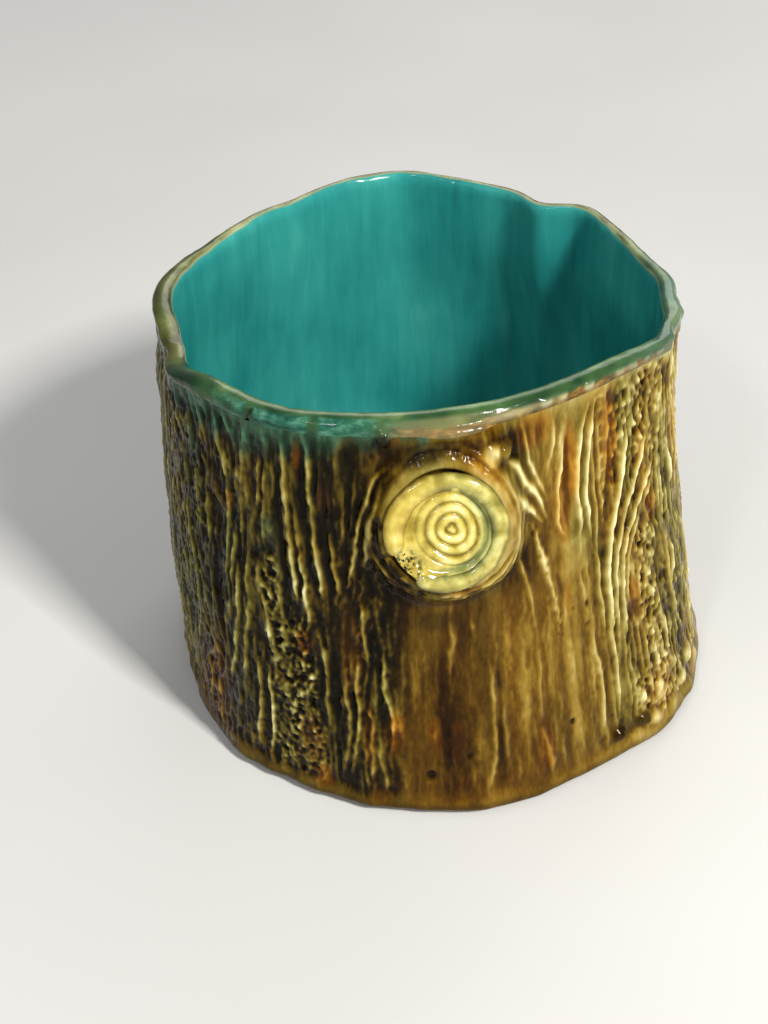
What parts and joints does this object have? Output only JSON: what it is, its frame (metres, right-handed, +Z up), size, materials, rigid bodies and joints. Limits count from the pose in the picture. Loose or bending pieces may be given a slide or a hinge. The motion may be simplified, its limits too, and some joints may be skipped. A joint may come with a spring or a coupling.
{
  "type": "majolica cachepot",
  "caption": "Open majolica plant-pot cover shaped as a sawn tree stump, with bark relief outside, a cut branch on the front and a turquoise glazed inside.",
  "frame": {"origin": "middle of the footprint, on the surface that the pot stands on", "axes": "+Z up through the mouth, the cut branch faces -Y, +X to the right when the branch is seen from the front"},
  "size_m": [0.2784, 0.2926, 0.2045],
  "materials": {
    "bark_glaze": "glossy brown lead glaze, dark in the furrows and tan on the ridges",
    "root_glaze": "glossy brown glaze that ends above the foot",
    "lip_glaze": "glossy olive green glaze",
    "turquoise_glaze": "glossy turquoise glaze with upright streaks",
    "yellow_glaze": "glossy yellow glaze",
    "bare_clay": "unglazed buff earthenware"
  },
  "bodies": {
    "root": {"foot_ring": "bare_clay", "base_slab": "root_glaze", "trunk_wall": "bark_glaze", "rim_lip": "lip_glaze", "inner_glaze": "turquoise_glaze", "branch_collar": "bark_glaze", "branch_face": "yellow_glaze", "branch_edge_coil": "yellow_glaze", "bark_pellets": "bark_glaze"}
  },
  "joints": []
}
